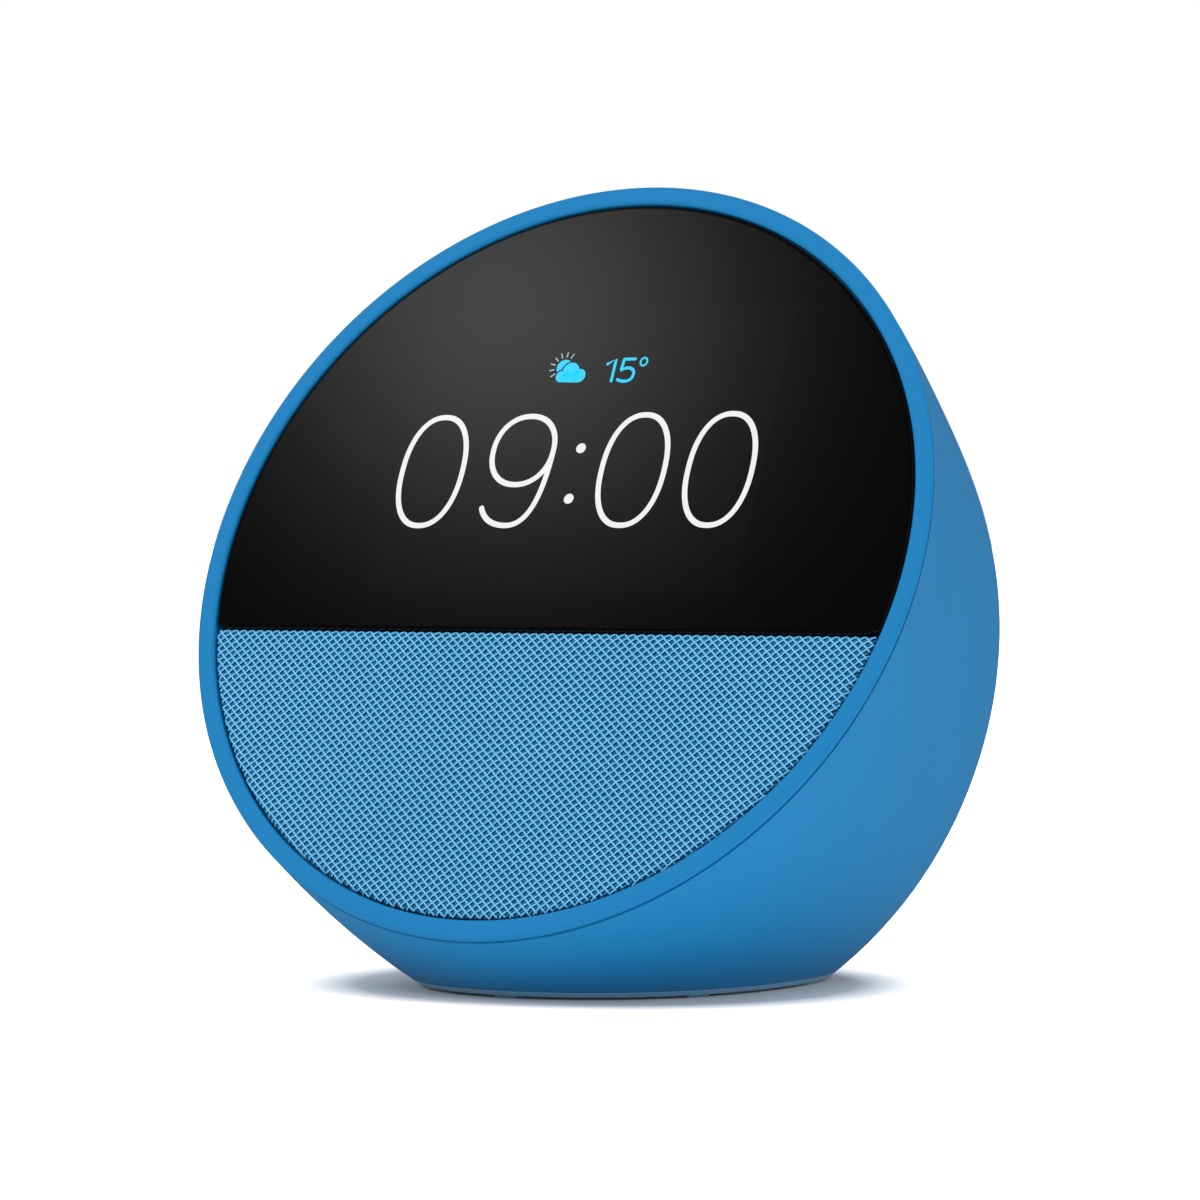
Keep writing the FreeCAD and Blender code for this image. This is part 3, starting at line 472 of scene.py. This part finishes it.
def ribbon(path, width, closed=False):
    """Points and faces of a flat stroke along a path of (x, u) points, with round ends."""
    path = np.asarray(path, float)
    if closed:
        ahead, behind = np.roll(path, -1, 0), np.roll(path, 1, 0)
    else:
        ahead = np.concatenate([path[1:], path[-1:]])
        behind = np.concatenate([path[:1], path[:-1]])
    along = ahead - behind
    along /= np.linalg.norm(along, axis=1, keepdims=True) + 1e-9
    side = np.stack([-along[:, 1], along[:, 0]], -1) * width / 2
    points = list(path + side) + list(path - side)
    count = len(path)
    faces = [(k, k + 1, count + k + 1, count + k) for k in range(count - 1)]
    if closed:
        faces.append((count - 1, 0, count, 2 * count - 1))
    else:
        for end, sign in ((0, -1), (count - 1, 1)):
            base = len(points)
            start = math.atan2(side[end][1], side[end][0])
            for a in np.linspace(0, math.pi, 9):
                points.append(path[end] + width / 2 * np.array([math.cos(start - sign * a),
                                                                math.sin(start - sign * a)]))
            faces.append(tuple(range(base, len(points))))
    return points, faces


def spot(x, u, radius):
    """Points and face of a small round dot."""
    steps = 28
    angle = np.linspace(0, TURN, steps, endpoint=False)
    return [(x + radius * math.cos(a), u + radius * math.sin(a)) for a in angle], [tuple(range(steps))]


def curve(points, steps=24):
    """A smooth path through cubic Bezier spans given as a flat list of control points."""
    path = []
    for k in range(0, len(points) - 1, 3):
        a, b, c, d = (np.array(p, float) for p in points[k:k + 4])
        for t in np.linspace(0, 1, steps, endpoint=(k + 4 >= len(points))):
            path.append((1 - t)**3 * a + 3 * (1 - t)**2 * t * b + 3 * (1 - t) * t**2 * c + t**3 * d)
    return np.array(path)


def oval(x, u, half_x, half_u, power, steps=96):
    """A closed path round a centre: an ellipse at power 2, and squarer as the power grows."""
    angle = np.linspace(0, TURN, steps, endpoint=False)
    c, s = np.cos(angle), np.sin(angle)
    return np.stack([x + half_x * np.sign(c) * np.abs(c)**(2 / power),
                     u + half_u * np.sign(s) * np.abs(s)**(2 / power)], -1)


def picture(name, shapes, material, behind=0.0):
    """One flat piece of the picture, made of shapes, at a small distance behind the frontmost."""
    points, faces = [], []
    for shape_points, shape_faces in shapes:
        base = len(points)
        points += [tuple(p) for p in shape_points]
        faces += [tuple(base + k for k in face) for face in shape_faces]
    points = np.array(points)
    piece = new_mesh(name, place(points[:, 0], points[:, 1], PICTURE_S + behind), faces, material)
    return add(piece, ROOT, slot="lcd_glass")


def clock():
    """The digits 09:00 as strokes, and the two dots."""
    stroke = 0.82
    shapes = [ribbon(oval(x, 12.43, 4.95, 8.37, 2.25), stroke, closed=True) for x in (-23.0, 9.3, 22.9)]
    nine_tail = [(-4.1, 15.6), (-4.1, 8.4), (-5.4, 4.06), (-8.9, 4.06),
                 (-11.2, 4.06), (-12.7, 5.1), (-13.4, 6.7)]
    shapes.append(ribbon(oval(-8.95, 15.55, 4.85, 5.25, 2.15), stroke, closed=True))
    shapes.append(ribbon(curve(nine_tail), stroke))
    return shapes + [spot(0.25, u, 0.76) for u in (15.8, 8.1)]


CLOUD_BUMPS = [(-5.75, 26.95, 0.90), (-4.45, 27.75, 1.32), (-2.98, 27.02, 1.06)]
CLOUD_MARGINS = (0.22, 0.22, 0.20)
SUN_X, SUN_U = -5.65, 28.35


def cloud():
    middle = [(-5.75, 26.05), (-2.98, 25.96), (-2.98, 27.6), (-5.75, 27.5)]
    return [spot(*bump) for bump in CLOUD_BUMPS] + [(middle, [(0, 1, 2, 3)])]


def temperature():
    """The number 15 and a degree ring."""
    five = [(5.5, 29.45), (5.1, 29.45), (4.3, 29.45), (3.75, 29.45), (3.70, 28.8), (3.65, 28.3),
            (3.62, 27.75), (4.2, 28.25), (5.75, 28.3), (5.75, 27.1), (5.75, 25.85), (4.3, 25.85), (3.4, 26.3)]
    return [ribbon([(1.25, 28.75), (2.45, 29.45), (2.45, 26.1)], 0.46),
            ribbon(curve(five, 12), 0.46),
            ribbon(oval(6.95, 29.0, 0.52, 0.60, 2.0, 40), 0.30, closed=True)]


def sun_rays():
    shapes = []
    for degrees in range(62, 219, 26):
        a = math.radians(degrees)
        ends = [(SUN_X + r * math.cos(a), SUN_U + r * math.sin(a)) for r in (1.62, 2.28)]
        shapes.append(ribbon(ends, 0.19))
    return shapes


screen_corners = [(-SCREEN_HALF_WIDTH, SCREEN_LOW), (SCREEN_HALF_WIDTH, SCREEN_LOW),
                  (SCREEN_HALF_WIDTH, SCREEN_HIGH), (-SCREEN_HALF_WIDTH, SCREEN_HIGH)]
picture("screen_area", [(screen_corners, [(0, 1, 2, 3)])], M["screen_field"], behind=0.009)
picture("screen_clock", clock(), M["screen_white"])
picture("screen_sun", [spot(SUN_X, SUN_U, 1.20)], M["screen_cyan"], behind=0.006)
cloud_edge = [spot(x, u, radius + margin) for (x, u, radius), margin in zip(CLOUD_BUMPS, CLOUD_MARGINS)]
picture("screen_cloud_edge", cloud_edge, M["screen_field"], behind=0.003)
picture("screen_weather", cloud() + temperature(), M["screen_cyan"])
picture("screen_rays", sun_rays(), M["screen_pale"])


# --- speaker cloth: a dark ground of painted shade with a raised diamond net of pale threads -------------

def edge_drop(x, u):
    """How far the cloth has rolled back over the frame's edge at a point, and its distance to the edge."""
    inside = np.minimum(CLOTH_R - np.hypot(x, u), CLOTH_TOP - u)
    reach = np.clip(CLOTH_ROUND - inside, 0, CLOTH_ROUND)
    return CLOTH_ROUND - np.sqrt(CLOTH_ROUND**2 - reach**2 + 1e-9), inside


def thread_path(rising, line, depth, wave):
    """The x, u and s of one diagonal thread, weaving through the other family, and where it is kept."""
    run = np.arange(0, 130, 0.25) - 95
    i, j = (run, line) if rising else (line, run)
    sign = 1.0 if rising else -1.0
    phase = math.pi * (i + j)
    sway = 0.012 * np.sin(phase) * sign
    x = (i - j) * PITCH_X / 2 + sway * 0.65
    u = (i + j) * PITCH_U / 2 - sway * 0.76 * sign
    drop, inside = edge_drop(x, u)
    return np.stack([x, u, depth + drop - sign * wave * np.cos(phase)], -1), inside > 0.015


def tube(path):
    """The surface of a thin tube along a path, ring by ring."""
    ring = np.linspace(0, TURN, THREAD_SIDES, endpoint=False)
    along = np.gradient(path, axis=0)
    along /= np.linalg.norm(along, axis=1, keepdims=True)
    side = np.cross(along, [0.0, 0.0, 1.0])
    side /= np.linalg.norm(side, axis=1, keepdims=True)
    front = np.cross(side, along)
    across = np.cos(ring)[None, :, None] * side[:, None] + np.sin(ring)[None, :, None] * front[:, None]
    return (path[:, None] + THREAD_R * across).reshape(-1, 3)


def tube_faces(rings, base):
    k = np.arange(rings - 1)[:, None] * THREAD_SIDES
    m = np.arange(THREAD_SIDES)[None, :]
    n = (m + 1) % THREAD_SIDES
    corners = [k + m, k + n, k + THREAD_SIDES + n, k + THREAD_SIDES + m]
    return np.stack(corners, -1).reshape(-1, 4) + base


def quad_mesh(name, points, faces, material):
    """A smooth mesh made straight from arrays, for the many faces of the threads."""
    mesh = bpy.data.meshes.new(name)
    mesh.vertices.add(len(points))
    mesh.vertices.foreach_set("co", place(points[:, 0], points[:, 1], points[:, 2]).ravel())
    mesh.loops.add(len(faces) * 4)
    mesh.loops.foreach_set("vertex_index", faces.ravel())
    mesh.polygons.add(len(faces))
    mesh.polygons.foreach_set("loop_start", np.arange(len(faces)) * 4)
    mesh.polygons.foreach_set("loop_total", np.full(len(faces), 4))
    mesh.update(calc_edges=True)
    mesh.shade_smooth()
    mesh.materials.append(material)
    return new_object(name, mesh)


def threads(name, rising, material, depth, wave, offset=0.0):
    """Parallel diagonal threads as one mesh of thin tubes."""
    points, faces = [], []
    base = 0
    for line in range(-92, 34):
        path, kept = thread_path(rising, line + offset, depth, wave)
        kept = np.flatnonzero(kept)
        for run in np.split(kept, np.flatnonzero(np.diff(kept) > 1) + 1):
            if len(run) >= 4:
                points.append(tube(path[run]))
                faces.append(tube_faces(len(run), base))
                base += len(points[-1])
    net = quad_mesh(name, np.concatenate(points), np.concatenate(faces), material)
    return add(net, ROOT, slot="grille_cloth")


def cloth_painted_shade():
    """A dark navy sheet behind the threads, painted shade for the holes of the knit: flat, with its edge
    turned back over the grille frame.
    """
    outline = cut_disc(CLOTH_R - 0.06, CLOTH_TOP - 0.04, False, steps=300, corner=0.6)
    front, turned = 0.50, 0.70
    layers = [(0.0, 1.70), (0.0, front + turned)]
    for a in np.linspace(0, math.pi / 2, 7):
        layers.append((turned * (1 - math.cos(a)), front + turned * (1 - math.sin(a))))
    return slab_mesh("speaker_cloth_ground", outline, layers, M["cloth_painted_shade"], angle=50, back=False)


ground = add(cloth_painted_shade(), ROOT, "grille_fabric", slot="grille_cloth")
light_rise = threads("speaker_cloth_rise", True, M["thread_light"], 0.30, 0.06)
light_fall = threads("speaker_cloth_fall", False, M["thread_light"], 0.30, 0.06)
# inner threads, set deeper and coloured darker: painted shade in the cloth's holes
deep = threads("speaker_cloth_inner", True, M["thread_painted_shade"], 0.46, 0.03, offset=0.5)


# --- room: pale floor, soft light, camera at the photographed angle --------------------------------------

BASE_CENTRE = (0.0, -0.0128, 0.0)
PAINTED_SHADOW_FROM, PAINTED_SHADOW_TO = 0.0345, 0.0480     # the floor's glow fades in between these distances from the base; nearer in it has none, a painted shadow round the base
FLOOR_HALF = 30.0
LIGHT_TARGET = (0.0, 0.0, 0.05)
AZIMUTH = math.radians(31.023)
ELEVATION = math.radians(0.158)
DISTANCE = 0.7145
TOWARDS = np.array([math.sin(AZIMUTH) * math.cos(ELEVATION), -math.cos(AZIMUTH) * math.cos(ELEVATION),
                    math.sin(ELEVATION)])
CARD_AWAY = 0.5
CARD_HALF = 0.42
SHEEN_MIDDLE = (-0.098, 0.102, 0.0)         # on a card that reaches from -1 to 1 each way
SHEEN_WIDTH = (0.118, 0.115)
SHEEN_PEAK = 1.20
SHEEN_FLOOR = 0.03


def floor():
    """A pale floor that glows, so that it is white to the camera, except near the base, where the glow fades
    out into a painted shadow.
    """
    material = surface("floor_white", (0.86, 0.83, 0.79), 0.9, mottle=0.0)
    tree = material.node_tree
    shader = tree.nodes["Principled BSDF"]
    shader.inputs["Emission Color"].default_value = (1, 1, 1, 1)
    shader.inputs["Specular IOR Level"].default_value = 0.0
    where = new_node(tree, "ShaderNodeTexCoord").outputs["Object"]
    from_base = new_node(tree, "ShaderNodeVectorMath", "SUBTRACT", {0: where, 1: BASE_CENTRE})
    reach = new_node(tree, "ShaderNodeVectorMath", "LENGTH", {0: from_base.outputs["Vector"]})
    # the glow grows from none near the base to full further out: the dark ring round the base is a painted
    # shadow
    brighter = new_node(tree, "ShaderNodeMapRange", slots={
        "From Min": PAINTED_SHADOW_FROM, "From Max": PAINTED_SHADOW_TO, "Value": reach.outputs["Value"]})
    seen = new_node(tree, "ShaderNodeLightPath").outputs["Is Camera Ray"]
    share = new_node(tree, "ShaderNodeMapRange", slots={"To Min": 0.45, "Value": seen})
    glow = new_node(tree, "ShaderNodeMath", "MULTIPLY", {0: brighter.outputs["Result"],
                                                         1: share.outputs["Result"]})
    tree.links.new(glow.outputs["Value"], shader.inputs["Emission Strength"])
    corners = [(-FLOOR_HALF, -FLOOR_HALF, 0), (FLOOR_HALF, -FLOOR_HALF, 0),
               (FLOOR_HALF, FLOOR_HALF, 0), (-FLOOR_HALF, FLOOR_HALF, 0)]
    piece = new_mesh("floor", corners, [(0, 1, 2, 3)], material)
    piece.visible_glossy = False
    piece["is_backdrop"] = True


def backdrop():
    """White to the camera, softer to the object and dim in reflections."""
    world = bpy.data.worlds.new("studio")
    scene.world = world
    world.use_nodes = True
    tree = world.node_tree
    back = tree.nodes["Background"]
    back.inputs["Color"].default_value = (1, 1, 1, 1)
    rays = new_node(tree, "ShaderNodeLightPath").outputs
    unseen = new_node(tree, "ShaderNodeMapRange", slots={
        "To Min": 0.72, "To Max": 0.16, "Value": rays["Is Glossy Ray"]})
    level = new_node(tree, "ShaderNodeMapRange", slots={
        "To Min": unseen.outputs["Result"], "To Max": 1.0, "Value": rays["Is Camera Ray"]})
    tree.links.new(level.outputs["Result"], back.inputs["Strength"])


def sheen():
    """A light that is strongest at one spot of the card and falls off evenly round it."""
    material = bpy.data.materials.new("light_card")
    material.use_nodes = True
    tree = material.node_tree
    tree.nodes.clear()
    coords = new_node(tree, "ShaderNodeUVMap")
    coords.uv_map = "card"
    move = new_node(tree, "ShaderNodeVectorMath", "SUBTRACT", {0: coords.outputs["UV"], 1: SHEEN_MIDDLE})
    stretch = new_node(tree, "ShaderNodeVectorMath", "MULTIPLY", {
        0: move.outputs["Vector"], 1: (1 / SHEEN_WIDTH[0], 1 / SHEEN_WIDTH[1], 0)})
    square = new_node(tree, "ShaderNodeVectorMath", "DOT_PRODUCT", {
        0: stretch.outputs["Vector"], 1: stretch.outputs["Vector"]})
    minus = new_node(tree, "ShaderNodeMath", "MULTIPLY", {0: square.outputs["Value"], 1: -1.0})
    fall = new_node(tree, "ShaderNodeMath", "EXPONENT", {0: minus.outputs["Value"]})
    level = new_node(tree, "ShaderNodeMath", "MULTIPLY_ADD", {0: fall.outputs["Value"], 1: SHEEN_PEAK,
                                                              2: SHEEN_FLOOR})
    glow = new_node(tree, "ShaderNodeEmission", slots={"Strength": level.outputs["Value"]})
    new_node(tree, "ShaderNodeOutputMaterial", slots={"Surface": glow.outputs["Emission"]})
    return material


def reflected_card():
    """A soft light card seen only in reflections: it puts the broad grey sheen on the black glass."""
    mirrored = 2 * float(OUT @ TOWARDS) * OUT - TOWARDS
    mirrored /= np.linalg.norm(mirrored)
    middle = CENTRE / MM_PER_M + mirrored * CARD_AWAY
    across = np.cross([0, 0, 1.0], mirrored)
    across /= np.linalg.norm(across)
    upward = np.cross(mirrored, across)
    square = ((-1, -1), (1, -1), (1, 1), (-1, 1))
    corners = [middle + CARD_HALF * (a * across + b * upward) for a, b in square]
    card = new_mesh("light_card", corners, [(0, 1, 2, 3)], sheen())
    layer = card.data.uv_layers.new(name="card")
    for k, uv in enumerate(square):
        layer.data[k].uv = uv
    card.visible_camera = False
    card.visible_diffuse = False
    card.visible_shadow = False
    card.visible_transmission = False
    card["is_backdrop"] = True


def soft_light(name, where, size, power):
    lamp = bpy.data.lights.new(name, "AREA")
    lamp.shape = "RECTANGLE"
    lamp.size, lamp.size_y = size, size
    lamp.energy = power
    holder = new_object(name, lamp)
    holder.location = where
    holder.rotation_euler = (Vector(LIGHT_TARGET) - Vector(where)).to_track_quat("-Z", "Y").to_euler()
    holder.visible_glossy = False


def camera():
    lens = bpy.data.cameras.new("camera")
    lens.sensor_width = 36.0
    lens.lens = 157.4
    lens.shift_x = 0.0391
    lens.shift_y = -0.0405
    lens.clip_start = 0.01
    lens.clip_end = 100.0
    holder = new_object("camera", lens)
    holder.location = CENTRE / MM_PER_M + TOWARDS * DISTANCE
    holder.rotation_euler = Vector(-TOWARDS).to_track_quat("-Z", "Y").to_euler()
    return holder


floor()
backdrop()
reflected_card()
soft_light("key", (-0.9, -1.0, 1.3), 1.0, 9.2)
soft_light("fill", (1.2, -0.5, 0.5), 0.9, 3.4)
soft_light("top", (0.2, 0.3, 1.6), 1.4, 8.4)
scene.camera = camera()
scene.view_settings.view_transform = "Standard"

end_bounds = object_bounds()


def plain(value):
    """A value made only of lists and numbers, so that it can be written as JSON."""
    if isinstance(value, (int, float, str)):
        return value
    return [plain(v) for v in value]


{"start": plain(start_bounds), "end": plain(end_bounds)}
